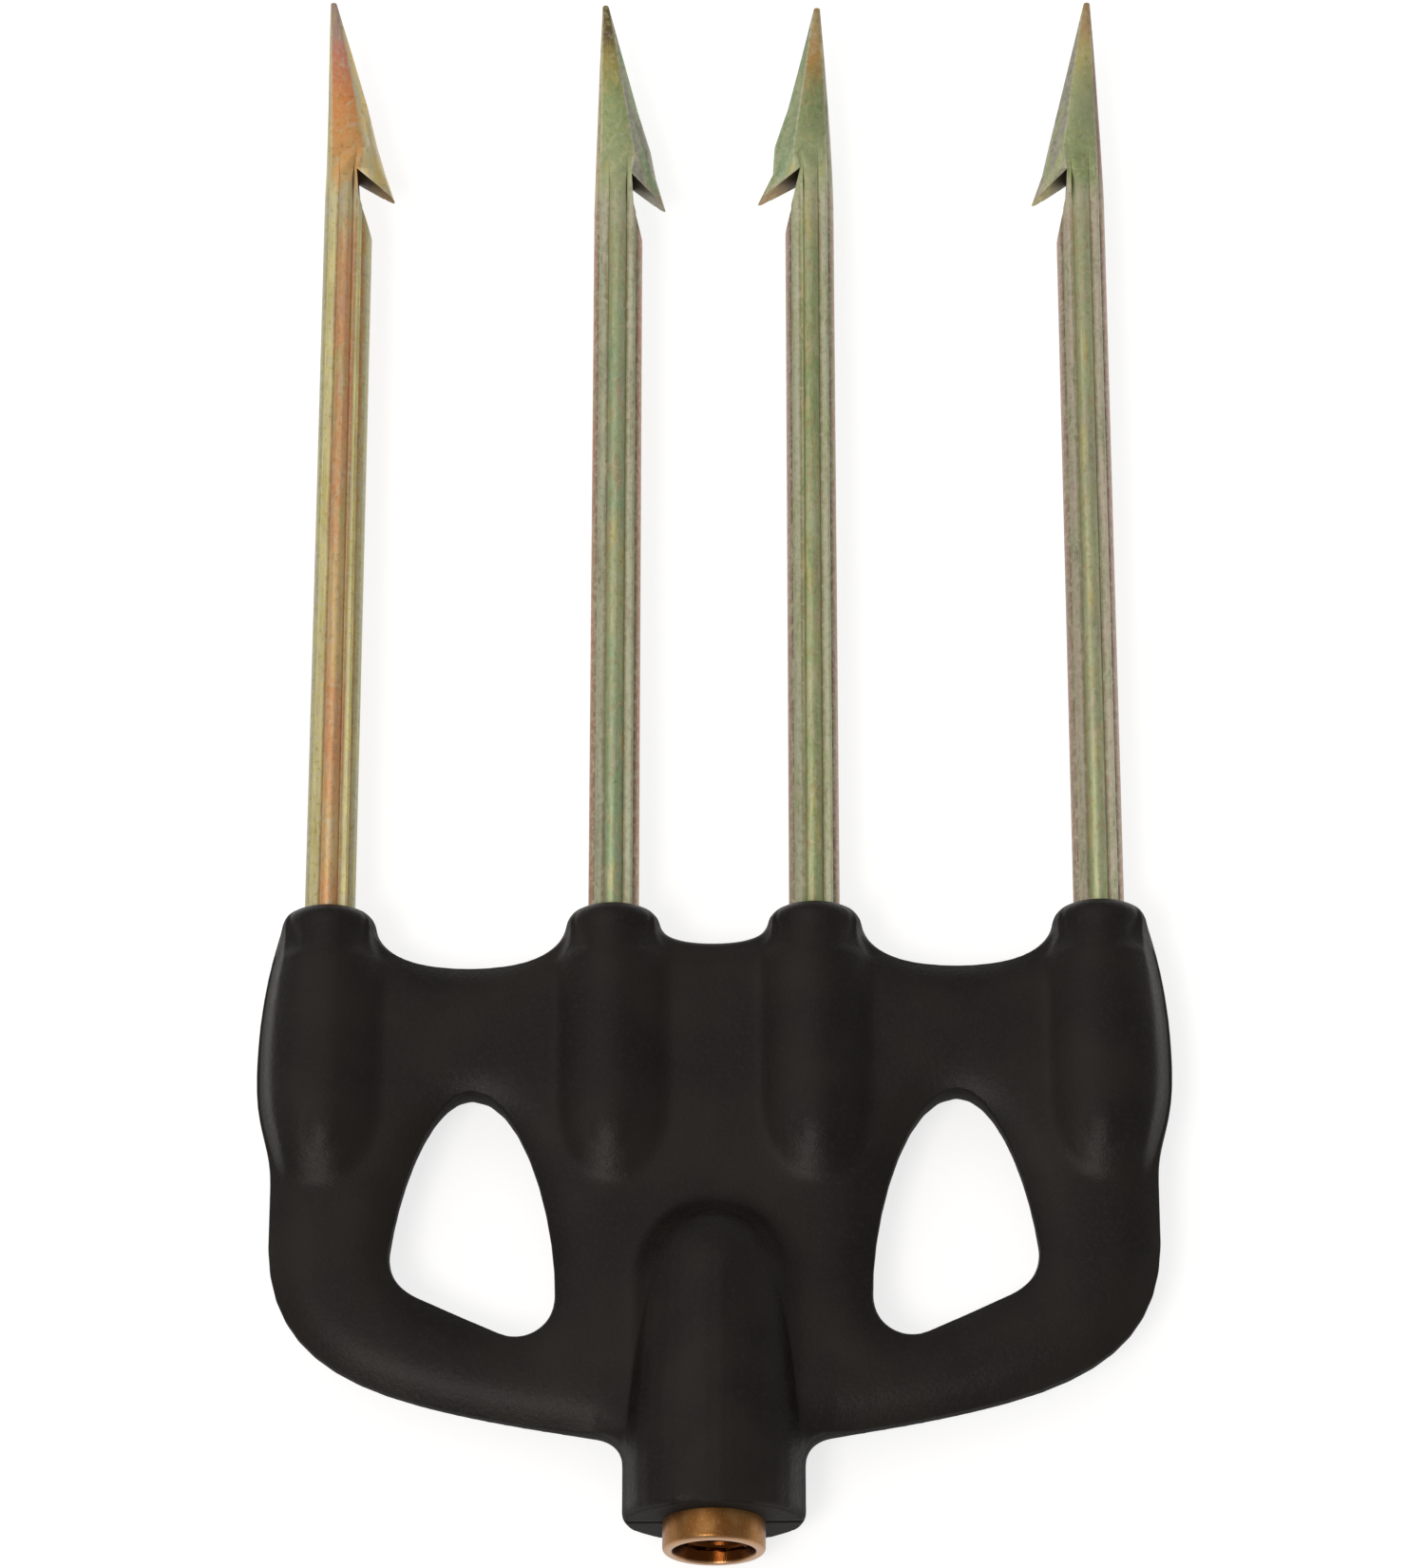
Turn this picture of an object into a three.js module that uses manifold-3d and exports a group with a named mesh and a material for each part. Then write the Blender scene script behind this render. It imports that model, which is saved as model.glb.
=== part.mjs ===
// Four-prong barbed spear head that screws onto a shaft. Four fluted steel prongs and a brass
// threaded bush are moulded into one black nylon body.
// Millimetres, +Z up. The head lies on its back: +X to the right, +Y along the prongs to the points,
// +Z out of the front face. The origin is at the middle of the head's footprint.
// Drawing frame: x = 0 on the middle line, y = 0 on the neck's end face, z = 0 on the parting plane.
import * as THREE from "three";
import * as BufferGeometryUtils from "three/addons/utils/BufferGeometryUtils.js";
import Module from "manifold-3d";

const wasm = await Module();
wasm.setup();

// Plate of the body
const plateThickness = 4.2;
const edgeRoll = 1.5;
const edgeRollSteps = 3;
const bodyWidth = 82;
const bulgeHeight = 41.5;
const waistWidth = 79;
const waistBottom = 25;
const waistTop = 31;
const wingHeight = 7.35;
const sideScallopHeight = 51.6;
const middleScallopHeight = 53.85;

// Windows through the plate, one on each side of the boss
const windowNear = 14.05;
const windowFar = 28.75;
const windowBottom = 16.7;
const windowTop = 39.3;

// Boss and neck round the bush
const bossDepth = 13.3;
const bossWidth = 13.3;
const bossHeight = 28.75;
const neckWidth = 16;
const neckLength = 9;
const neckFillet = 2.4;
const neckEdge = 0.4;

// Sockets of the body, one finger for each prong
const outerSpacing = 69.7;
const innerSpacing = 18.2;
const fingerDiameter = 8.7;
const fingerTop = 57;
const fingerLength = 20;
const fingerTipLength = 6;
const fingerRoll = 1.5;
const fingerFillet = 2;
const socketDepth = 21;
const mouldGap = 0.25;
const tuck = 0.12;

// Prongs: a fluted bar with a half-round rib on each side
const prongAcross = 4.6;
const prongSquare = 3.45;
const prongCorner = 0.18;
const fluteDepth = 0.15;
const ribWidth = 1.8;
const prongLength = 116.2;

// Coined head of a prong and its barb
const tipFlat = 0.55;
const tipLean = 0.65;
const tipThickness = 0.8;
const barbThickness = 3.5;
const barbTipThickness = 1.3;
const headLength = 22.5;
const barbReach = 4.4;
const barbBendHeight = 8.8;
const barbRootRise = 3.35;
const barbRootOffset = 1.3;
const notchOffset = 1.5;
const notchRampLength = 3.5;
const coinRampLength = 2.6;
const bevelEnd = 6;
const bevelEdge = 0.45;
const bevelRun = 0.95;
const bevelRise = 0.75;

// Locking nicks in the moulded-in tail of a prong
const nickDepth = 0.55;
const nickLength = 2.4;
const nickHeight = 4;
const nickPitch = 6;
const nickCount = 2;

// Threaded bush: the bore is the thread's tapping size
const bushDiameter = 9;
const bushLength = 15.2;
const bushProjection = 2.7;
const bushBoreDiameter = 6;
const bushBoreDepth = 12.5;
const bushMouthDiameter = 7.4;
const bushRimChamfer = 0.25;
const bushGrooveDepth = 0.6;
const bushGrooveLength = 2.5;
const bushGroovePitch = 5;
const bushGrooveCount = 2;
const drillPointLength = 1.4;

// How far a cutting solid runs past what it cuts, and how near two points are the same
const overrun = 3;
const weldDistance = 0.0001;

// Facets
const outlineSteps = 9;
const ribSteps = 4;
const fingerFacets = 24;
const roundFacets = 32;
const filletSteps = 3;
const tipSteps = 7;

const halfPlate = plateThickness / 2;
const fingerRadius = fingerDiameter / 2;
const bushRadius = bushDiameter / 2;
const prongRadius = prongAcross / 2;
const outerProng = outerSpacing / 2;
const innerProng = innerSpacing / 2;
const scallopTop = fingerTop - fingerRoll;
const prongTail = fingerTop - socketDepth;
const pointHeight = prongTail + prongLength;
const barbHeight = pointHeight - headLength;
const bendHeight = barbHeight + barbBendHeight;

// A closed geometry as a solid for joining and cutting, with its faces turned outwards.
function solid(geometry) {
  const bare = geometry.clone();
  bare.deleteAttribute("normal");
  bare.deleteAttribute("uv");
  const merged = BufferGeometryUtils.mergeVertices(bare, weldDistance);
  const vertProperties = merged.attributes.position.array;
  const triVerts = new Uint32Array(merged.index.array);
  const made = new wasm.Manifold(new wasm.Mesh({ numProp: 3, vertProperties, triVerts }));
  if (made.volume() >= 0) return made;
  const turned = new wasm.Mesh({ numProp: 3, vertProperties, triVerts: triVerts.reverse() });
  return new wasm.Manifold(turned);
}

// The geometry of a finished solid.
function geometryOf(made) {
  const mesh = made.getMesh();
  const geometry = new THREE.BufferGeometry();
  geometry.setAttribute("position", new THREE.BufferAttribute(mesh.vertProperties, 3));
  geometry.setIndex(new THREE.BufferAttribute(mesh.triVerts, 1));
  const faceted = geometry.toNonIndexed();
  faceted.computeVertexNormals();
  return faceted;
}

// Skin over rings of the same number of points, with a flat cap on the first and last ring.
// flatten gives the two coordinates in which a ring is a plane outline.
function loft(rings, flatten) {
  const count = rings[0].length;
  const index = [];
  for (let ring = 0; ring + 1 < rings.length; ring++) {
    for (let i = 0; i < count; i++) {
      const a = ring * count + i;
      const b = ring * count + ((i + 1) % count);
      index.push(a, b, b + count, a, b + count, a + count);
    }
  }
  const start = (rings.length - 1) * count;
  const clockwise = THREE.ShapeUtils.isClockWise(rings[0].map(flatten));
  for (const first of [0, start]) {
    const flat = rings[first / count].map(flatten);
    for (const [a, b, c] of THREE.ShapeUtils.triangulateShape(flat, [])) {
      if (clockwise === (first === 0)) index.push(first + a, first + b, first + c);
      else index.push(first + c, first + b, first + a);
    }
  }
  const geometry = new THREE.BufferGeometry();
  geometry.setFromPoints(rings.flat());
  geometry.setIndex(index);
  return geometry;
}

// An outline in the XY plane as a block of the given thickness, half of it on each side of z = 0.
function block(points, thickness) {
  const outline = new THREE.Shape(points);
  const geometry = new THREE.ExtrudeGeometry(outline, { depth: thickness, bevelEnabled: false });
  return geometry.translate(0, 0, -thickness / 2);
}

const point = (x, y) => new THREE.Vector2(x, y);
const mirrored = (points) => points.map((p) => point(-p.x, p.y)).reverse();

// Right half of the plate's outline, from the neck's end face round to the middle scallop.
// The shares place each curve's control points between the sizes that they follow.
const cornerShares = [
  [0.656, 0.432],
  [0.88, 0.532],
  [0.993, 0.696],
];
const wingShares = [0.66, 0.5];
const bulgeShares = [0.38, 0.48];
const shoulderShare = 0.54;
const scallopShares = [
  [0.58, 0],
  [0.93, 0.3],
];
const fingerSideShare = 0.98;

function scallop(path, centre, bottom, halfWidth) {
  const rise = scallopTop - bottom;
  const [low, high] = scallopShares;
  const at = (side, [across, up]) => [centre + side * across * halfWidth, bottom + up * rise];
  path.lineTo(centre + halfWidth, scallopTop);
  path.bezierCurveTo(...at(1, high), ...at(1, low), centre, bottom);
  if (centre === 0) return;
  path.bezierCurveTo(...at(-1, low), ...at(-1, high), centre - halfWidth, scallopTop);
}

// How much of its edge a corner uses up at b for each millimetre that the outline is drawn in.
function cornerLoss(a, b, c) {
  const arriving = b.clone().sub(a);
  const leaving = c.clone().sub(b);
  return arriving.cross(leaving) / (arriving.length() * leaving.length() + arriving.dot(leaving));
}

// The points that stay apart when the edge roll draws the outline in: where an edge is too short for
// its two corners, the flatter corner is dropped.
function drawnInPoints(points) {
  const kept = [...points];
  let i = 1;
  while (i + 2 < kept.length) {
    const losses = [cornerLoss(...kept.slice(i - 1, i + 2)), cornerLoss(...kept.slice(i, i + 3))];
    if (kept[i].distanceTo(kept[i + 1]) > edgeRoll * (losses[0] + losses[1])) {
      i += 1;
    } else {
      kept.splice(losses[0] < losses[1] ? i : i + 1, 1);
      i = 1;
    }
  }
  return kept;
}

function halfOutline() {
  const waist = waistWidth / 2;
  const widest = bodyWidth / 2;
  const neck = neckWidth / 2;
  const side = fingerSideShare * fingerRadius;
  const corner = cornerShares.map(([across, up]) => [across * waist, up * waistBottom]);
  const wingRun = wingShares[0] * (corner[0][0] - neck);
  const wingRise = wingShares[1] * (corner[0][1] - wingHeight);
  const filletRise = (neckFillet * wingRise) / wingRun;
  const bulgeRise = bulgeHeight - waistTop;
  const path = new THREE.Path();
  path.moveTo(neck, neckEdge);
  path.lineTo(neck, wingHeight - neckFillet);
  path.quadraticCurveTo(neck, wingHeight, neck + neckFillet, wingHeight + filletRise);
  path.quadraticCurveTo(neck + wingRun, wingHeight + wingRise, ...corner[0]);
  path.bezierCurveTo(...corner[1], ...corner[2], waist, waistBottom);
  path.lineTo(waist, waistTop);
  path.bezierCurveTo(
    waist,
    waistTop + bulgeShares[0] * bulgeRise,
    widest,
    waistTop + bulgeShares[1] * bulgeRise,
    widest,
    bulgeHeight,
  );
  const shoulder = bulgeHeight + shoulderShare * (scallopTop - bulgeHeight);
  path.quadraticCurveTo(widest, shoulder, outerProng + side, scallopTop);
  const between = (outerProng + innerProng) / 2;
  scallop(path, between, sideScallopHeight, (outerProng - innerProng) / 2 - side);
  scallop(path, 0, middleScallopHeight, innerProng - side);
  return drawnInPoints(path.getPoints(outlineSteps));
}

// Right window, from its top round by its far side. Shares of its width and height.
const windowShares = {
  top: [0.52, 1],
  farSide: [[0.76, 1], [0.95, 0.635], [1, 0.35]],
  farCorner: [[1, 0.26], [0.95, 0.21], [0.84, 0.17]],
  sill: [0.33, 0.018],
  nearCorner: [[0.194, -0.025], [0.01, 0.03], [0, 0.16]],
  nearSide: [[-0.01, 0.46], [0.194, 1], [0.52, 1]],
};

function windowOutline() {
  const at = ([across, up]) => [
    windowNear + across * (windowFar - windowNear),
    windowBottom + up * (windowTop - windowBottom),
  ];
  const path = new THREE.Path();
  path.moveTo(...at(windowShares.top));
  path.bezierCurveTo(...windowShares.farSide.flatMap(at));
  path.bezierCurveTo(...windowShares.farCorner.flatMap(at));
  path.lineTo(...at(windowShares.sill));
  path.bezierCurveTo(...windowShares.nearCorner.flatMap(at));
  path.bezierCurveTo(...windowShares.nearSide.flatMap(at));
  return path.getPoints(outlineSteps).slice(0, -1);
}

const rightHalf = halfOutline();
const leftHalf = mirrored(rightHalf.slice(0, -1));
const rightWindow = windowOutline();

// The plate with its windows, every edge rolled over front and back.
function plate() {
  const outline = new THREE.Shape([...rightHalf, ...leftHalf]);
  outline.holes.push(new THREE.Path(rightWindow));
  outline.holes.push(new THREE.Path(mirrored(rightWindow)));
  const geometry = new THREE.ExtrudeGeometry(outline, {
    depth: plateThickness - 2 * edgeRoll,
    bevelThickness: edgeRoll,
    bevelSize: edgeRoll,
    bevelOffset: -edgeRoll,
    bevelSegments: edgeRollSteps,
  });
  return solid(geometry.translate(0, 0, edgeRoll - halfPlate));
}

// The flat of the plate inside its rolled edges, tall enough to trim the fillets of the fingers.
function plateFlat() {
  const outline = new THREE.Shape([...rightHalf, ...leftHalf]);
  outline.holes.push(new THREE.Path(rightWindow));
  outline.holes.push(new THREE.Path(mirrored(rightWindow)));
  const geometry = new THREE.ExtrudeGeometry(outline, {
    depth: fingerDiameter,
    bevelThickness: overrun,
    bevelSize: 0,
    bevelOffset: -edgeRoll,
    bevelSegments: 1,
  });
  return solid(geometry.translate(0, 0, -fingerRadius));
}

const tipStretch = fingerTipLength / fingerRadius;
const tipStart = fingerTop - fingerLength;

// A round finger, turned about the prong's line: rolled rim on top, long rounded tip below.
function fingerBar() {
  const profile = [];
  for (let i = 0; i <= tipSteps; i++) {
    const turn = (i / tipSteps) * (Math.PI / 2);
    const across = i === 0 ? 0 : fingerRadius * Math.sin(turn);
    profile.push(point(across, tipStart - fingerTipLength * Math.cos(turn)));
  }
  for (let i = 0; i <= filletSteps; i++) {
    const turn = (i / filletSteps) * (Math.PI / 2);
    const rim = fingerRadius - fingerRoll;
    profile.push(point(rim + fingerRoll * Math.cos(turn), fingerTop - fingerRoll * (1 - Math.sin(turn))));
  }
  profile.push(point(0, fingerTop));
  return new THREE.LatheGeometry(profile, fingerFacets);
}

// The concave fillet between a finger and the plate: slices of one pill outline that widen from the
// finger's flank down to the plate, the last one tucked into the plate and the first into the finger.
function filletSkirt() {
  const sum = fingerRadius + fingerFillet;
  const centreHeight = halfPlate + fingerFillet;
  const centreAcross = Math.sqrt(sum * sum - centreHeight * centreHeight);
  const startTurn = Math.atan2(centreHeight, centreAcross);
  const slices = [];
  for (let i = 0; i <= filletSteps; i++) {
    const turn = startTurn + (Math.PI / 2 - startTurn) * (i / filletSteps);
    const sunk = i === 0 ? tuck : 0;
    slices.push({
      halfWidth: centreAcross - fingerFillet * Math.cos(turn) - sunk,
      height: centreHeight - fingerFillet * Math.sin(turn),
    });
  }
  slices.at(-1).height -= tuck;
  const rings = [];
  for (const { halfWidth, height } of slices) rings.push(pillRing(halfWidth, height));
  for (const { halfWidth, height } of slices.reverse()) rings.push(pillRing(halfWidth, -height));
  return loft(rings, (p) => point(p.x, p.y));
}

function pillRing(halfWidth, height) {
  const ring = [new THREE.Vector3(halfWidth, scallopTop, height)];
  for (let i = 0; i <= tipSteps; i++) {
    const turn = (i / tipSteps) * Math.PI;
    const down = tipStretch * halfWidth * Math.sin(turn);
    ring.push(new THREE.Vector3(halfWidth * Math.cos(turn), tipStart - down, height));
  }
  ring.push(new THREE.Vector3(-halfWidth, scallopTop, height));
  return ring;
}

// Boss and neck in one loft of oval sections, from the end face to the round top.
function bossSection(height, halfWidth, halfDepth) {
  const ring = [];
  for (let i = 0; i < roundFacets; i++) {
    const turn = (i / roundFacets) * 2 * Math.PI;
    ring.push(new THREE.Vector3(halfWidth * Math.cos(turn), height, halfDepth * Math.sin(turn)));
  }
  return ring;
}

function boss() {
  const halfDepth = bossDepth / 2;
  const halfBoss = bossWidth / 2;
  const halfNeck = neckWidth / 2;
  const domeStart = bossHeight - halfBoss;
  const rings = [
    bossSection(0, halfNeck - neckEdge, halfDepth - neckEdge),
    bossSection(neckEdge, halfNeck, halfDepth),
    bossSection(neckLength, halfNeck, halfDepth),
  ];
  for (let i = 0; i < tipSteps; i++) {
    const turn = (i / tipSteps) * (Math.PI / 2);
    const share = Math.cos(turn);
    rings.push(bossSection(domeStart + halfBoss * Math.sin(turn), halfBoss * share, halfDepth * share));
  }
  return loft(rings, (p) => point(p.x, p.z));
}

// One eighth of the bar's outline at a time: half a round rib, down to the flute at its foot, and the
// shoulder out to the corner. grow widens it all round, for the socket that takes it.
function barOutline(grow) {
  const ribRadius = ribWidth / 2 + grow;
  const ribCentre = prongRadius - ribWidth / 2;
  const corner = prongSquare / 2 + grow;
  const footTurn = Math.acos((corner - fluteDepth - ribCentre) / ribRadius);
  const eighth = [];
  for (let i = 0; i <= ribSteps; i++) {
    const turn = (i / ribSteps) * footTurn;
    eighth.push(point(ribCentre + ribRadius * Math.cos(turn), ribRadius * Math.sin(turn)));
  }
  eighth.push(point(corner, corner - prongCorner));
  const quarter = [...eighth];
  for (const p of eighth.slice(1).reverse()) quarter.push(point(p.y, p.x));
  const points = [];
  for (let side = 0; side < 4; side++) {
    for (const p of quarter) points.push(p.clone().rotateAround(point(0, 0), (side * Math.PI) / 2));
  }
  return points;
}

// A length of bar from one height to another, its axis on x = 0, z = 0.
function bar(grow, bottom, top) {
  const outline = new THREE.Shape(barOutline(grow));
  const geometry = new THREE.ExtrudeGeometry(outline, { depth: top - bottom, bevelEnabled: false });
  return geometry.rotateX(-Math.PI / 2).translate(0, bottom, 0);
}

// The nicks across the tail's left and right sides. play narrows them, for the nylon that fills them.
function nicks(play) {
  const cuts = [];
  const height = nickLength - 2 * play;
  const depth = prongRadius - (prongSquare / 2 - nickDepth);
  for (let i = 0; i < nickCount; i++) {
    const y = prongTail + nickHeight + i * nickPitch;
    for (const side of [-1, 1]) {
      const cut = new THREE.BoxGeometry(depth + overrun, height, prongAcross + overrun);
      const x = side * (prongRadius + overrun / 2 - depth / 2 + play);
      cuts.push(solid(cut.translate(x, y, 0)));
    }
  }
  return cuts;
}

// Plan outline of the head: the side away from the barb leans in to the point, the other slants out.
function headPlan() {
  const wide = prongRadius + overrun;
  const tipNear = -prongRadius + tipLean;
  const slant = (barbReach - tipNear - tipFlat) / headLength;
  return {
    slant,
    tipFar: tipNear + tipFlat,
    outline: [
      point(-wide, prongTail - overrun),
      point(-wide, barbHeight),
      point(-prongRadius, barbHeight),
      point(tipNear, pointHeight),
      point(tipNear + tipFlat, pointHeight),
      point(tipNear + tipFlat + slant * (pointHeight - prongTail), prongTail),
      point(wide, prongTail - overrun),
    ],
  };
}

// The faces of the head: coined down from the rib crowns to the barb, then tapered to the point.
function coining() {
  const halfBarb = barbThickness / 2;
  const halfTip = tipThickness / 2;
  const thick = prongRadius + overrun;
  const rampSlope = (prongRadius - halfBarb) / coinRampLength;
  const taperSlope = (halfBarb - halfTip) / (headLength - barbRootRise);
  const rootHeight = barbHeight + barbRootRise;
  const profile = [
    point(rootHeight - (thick - halfBarb) / rampSlope, thick),
    point(rootHeight, halfBarb),
    point(pointHeight + overrun, halfTip - taperSlope * overrun),
  ];
  const lower = profile.map((p) => point(p.x, -p.y)).reverse();
  const outline = [point(prongTail - overrun, thick), ...profile, ...lower];
  outline.push(point(prongTail - overrun, -thick));
  const side = block(outline, 2 * (barbReach + overrun));
  return solid(side.rotateX(Math.PI / 2).rotateZ(Math.PI / 2));
}

// A wedge that thins the barb on both faces, from the slit out to its edge.
function barbTaper() {
  const slope = (barbThickness - barbTipThickness) / (barbReach - barbRootOffset);
  const half = (barbThickness + slope * overrun) / 2;
  const outline = new THREE.Shape([
    point(barbRootOffset - overrun, -half),
    point(barbRootOffset + barbThickness / slope, 0),
    point(barbRootOffset - overrun, half),
  ]);
  const depth = barbBendHeight + overrun;
  const geometry = new THREE.ExtrudeGeometry(outline, { depth, bevelEnabled: false });
  return solid(geometry.rotateX(-Math.PI / 2).translate(0, barbHeight, 0));
}

// The barb: the inner side of the bar, slit from below, bent outwards and thinned.
function barb() {
  const bend = Math.atan2(barbReach - prongRadius, barbBendHeight);
  const blank = bar(0, barbHeight - overrun, bendHeight + overrun);
  blank.translate(-prongRadius, -bendHeight, 0).rotateZ(bend).translate(prongRadius, bendHeight, 0);
  const far = barbReach + overrun;
  const region = [
    point(barbRootOffset, barbHeight + barbRootRise),
    point(barbReach, barbHeight),
    point(far, barbHeight),
    point(far, bendHeight),
    point(barbRootOffset, bendHeight),
  ];
  const bent = solid(blank).intersect(solid(block(region, prongAcross + overrun)));
  return bent.intersect(barbTaper());
}

// The slit that frees the barb, open to the inner side, with its ramp back out to the bar.
function slit() {
  const rootHeight = barbHeight + barbRootRise;
  const far = barbReach + overrun;
  const outline = [
    point(barbRootOffset, rootHeight),
    point(notchOffset, barbHeight),
    point(prongRadius, barbHeight - notchRampLength),
    point(far, barbHeight - notchRampLength),
    point(far, bendHeight),
    point(prongRadius, bendHeight),
  ];
  return solid(block(outline, prongAcross + overrun));
}

// Two cutters that bevel the slanting edge, one for the front face and one for the back.
function bevels({ slant, tipFar }) {
  const lean = Math.atan(slant);
  const length = (headLength - bevelEnd) / Math.cos(lean);
  const rise = (bevelRise / bevelRun) * overrun;
  return [-1, 1].map((side) => {
    const cut = new THREE.Shape([
      point(-overrun, side * (bevelEdge + rise)),
      point(overrun, side * (bevelEdge - rise)),
      point(overrun, side * (bevelEdge + rise)),
    ]);
    const depth = length + overrun;
    const geometry = new THREE.ExtrudeGeometry(cut, { depth, bevelEnabled: false });
    geometry.rotateX(Math.PI / 2).translate(0, overrun, 0);
    return solid(geometry.rotateZ(lean).translate(tipFar, pointHeight, 0));
  });
}

// The prong as it stands on the left, its barb towards +x.
function prong() {
  const head = headPlan();
  let made = solid(bar(0, prongTail, pointHeight));
  made = made.intersect(solid(block(head.outline, prongAcross + overrun)));
  made = made.subtract(slit()).add(barb()).intersect(coining());
  for (const cutter of [...bevels(head), ...nicks(0)]) made = made.subtract(cutter);
  return geometryOf(made);
}

// Socket in the body: the bar's own shape with the mould gap all round, nylon left in the nicks.
function socket() {
  let made = solid(bar(mouldGap, prongTail - mouldGap, fingerTop + overrun));
  for (const lug of nicks(mouldGap)) made = made.subtract(lug);
  return made;
}

// Bush outline from the closed inner end to the mouth. grow widens it, for its seat in the neck.
function bushSkin(grow) {
  const inner = bushLength - bushProjection;
  const radius = bushRadius + grow;
  const skin = [point(0, inner + grow), point(radius, inner + grow)];
  for (let i = 0; i < bushGrooveCount; i++) {
    const top = inner - bushGrooveLength / 2 - i * bushGroovePitch - grow;
    const bottom = top - bushGrooveLength + 2 * grow;
    skin.push(point(radius, top), point(radius - bushGrooveDepth, top));
    skin.push(point(radius - bushGrooveDepth, bottom), point(radius, bottom));
  }
  return skin;
}

function bush() {
  const bore = bushBoreDiameter / 2;
  const mouth = bushMouthDiameter / 2;
  const boreEnd = bushBoreDepth - bushProjection;
  const profile = [
    ...bushSkin(0),
    point(bushRadius, bushRimChamfer - bushProjection),
    point(bushRadius - bushRimChamfer, -bushProjection),
    point(mouth, -bushProjection),
    point(bore, mouth - bore - bushProjection),
    point(bore, boreEnd),
    point(0, boreEnd + drillPointLength),
  ];
  return geometryOf(solid(new THREE.LatheGeometry(profile, roundFacets)));
}

function bushSeat() {
  const profile = [...bushSkin(mouldGap)];
  profile.push(point(bushRadius + mouldGap, -overrun), point(0, -overrun));
  return solid(new THREE.LatheGeometry(profile, roundFacets));
}

const prongPlaces = [
  { name: "prong_outer_left", x: -outerProng, turn: 0 },
  { name: "prong_inner_left", x: -innerProng, turn: 0 },
  { name: "prong_inner_right", x: innerProng, turn: Math.PI },
  { name: "prong_outer_right", x: outerProng, turn: Math.PI },
];

function body() {
  const bars = prongPlaces.map(({ x }) => solid(fingerBar().translate(x, 0, 0)));
  const fillets = prongPlaces.map(({ x }) => solid(filletSkirt().translate(x, 0, 0)));
  const trimmed = wasm.Manifold.union(fillets).intersect(plateFlat());
  let made = wasm.Manifold.union([plate(), trimmed, ...bars, solid(boss())]);
  for (const { x } of prongPlaces) made = made.subtract(socket().translate([x, 0, 0]));
  return geometryOf(made.subtract(bushSeat()));
}

const nylon = new THREE.MeshStandardMaterial({ color: 0x262220, roughness: 0.55, metalness: 0 });
const passivatedSteel = { color: 0xa3a06a, roughness: 0.35, metalness: 0.9 };
const brass = new THREE.MeshStandardMaterial({ color: 0xb08040, roughness: 0.3, metalness: 1 });

function mesh(name, geometry, material) {
  const made = new THREE.Mesh(geometry, material);
  made.name = name;
  return made;
}

const drawn = new THREE.Group();
drawn.add(mesh("body", body(), nylon));
drawn.add(mesh("threaded_bush", bush(), brass));
for (const { name, x, turn } of prongPlaces) {
  const made = mesh(name, prong(), new THREE.MeshStandardMaterial(passivatedSteel));
  made.position.x = x;
  made.rotation.y = turn;
  drawn.add(made);
}
drawn.position.set(0, (bushProjection - pointHeight) / 2, bossDepth / 2);

const head = new THREE.Group();
head.add(drawn);
export default head;
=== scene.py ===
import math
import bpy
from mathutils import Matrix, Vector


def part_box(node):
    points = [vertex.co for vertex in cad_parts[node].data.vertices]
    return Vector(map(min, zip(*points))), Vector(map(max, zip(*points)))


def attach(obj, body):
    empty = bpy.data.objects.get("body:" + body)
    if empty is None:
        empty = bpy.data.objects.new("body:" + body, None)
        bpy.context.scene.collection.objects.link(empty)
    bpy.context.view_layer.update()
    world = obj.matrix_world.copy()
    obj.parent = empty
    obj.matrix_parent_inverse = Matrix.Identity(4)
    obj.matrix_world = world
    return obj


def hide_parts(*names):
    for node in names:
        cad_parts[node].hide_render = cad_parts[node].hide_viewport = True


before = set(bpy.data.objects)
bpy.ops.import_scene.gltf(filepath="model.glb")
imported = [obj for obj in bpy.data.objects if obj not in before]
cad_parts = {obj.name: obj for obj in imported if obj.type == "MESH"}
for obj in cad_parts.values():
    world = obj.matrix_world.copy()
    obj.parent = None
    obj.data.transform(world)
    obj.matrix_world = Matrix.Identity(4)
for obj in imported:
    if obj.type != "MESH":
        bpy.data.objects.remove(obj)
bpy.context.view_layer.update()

# A four-prong barbed spear head, lying on its back: four fluted steel prongs and a brass bush in one
# black nylon body. Metres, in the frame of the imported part.
from types import SimpleNamespace

import bmesh
import bpy
import numpy as np
from mathutils import Matrix, Vector

# Prongs: steel bar drawn square with a half-round rib on each side, the end coined to a blade, ground
# to a point and slit for the barb, which is bent out. Yellow passivated zinc plate, whose colours
# drift along the bar. Each one is ground by hand, so no two points are quite the same.
MM = 0.001
RIB_FOOT = 0.9 * MM
SHOULDER = 1.725 * MM
PRONG_HALF = 2.3 * MM
HEAD_LENGTH = 22.5 * MM
ROOT_LENGTH = 19.15 * MM
BEVEL_LENGTH = 16.5 * MM
STRIP_START = 1.6 * MM
BEVEL_START = -1.035 * MM
BEVEL_DRIFT = 0.1526
BEVEL_END = 1.48 * MM
BEVEL_CURL = 0.1
BAND_SLANT = -0.2444
BAND_STRETCH = 0.1
GOLD_SLANT = -0.34
NOTCH_RAMP = 3.5 * MM
SLIT_FADE = 3 * MM
WORN_EDGE = 0.09 * MM
BLUNT_POINT = 0.2 * MM
PLATE_METALLIC = 0.82
PLATE_RELIEF = 0.02 * MM
BLADE_STOPS = (0.1, 0.48, 0.7, 0.84)
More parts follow.
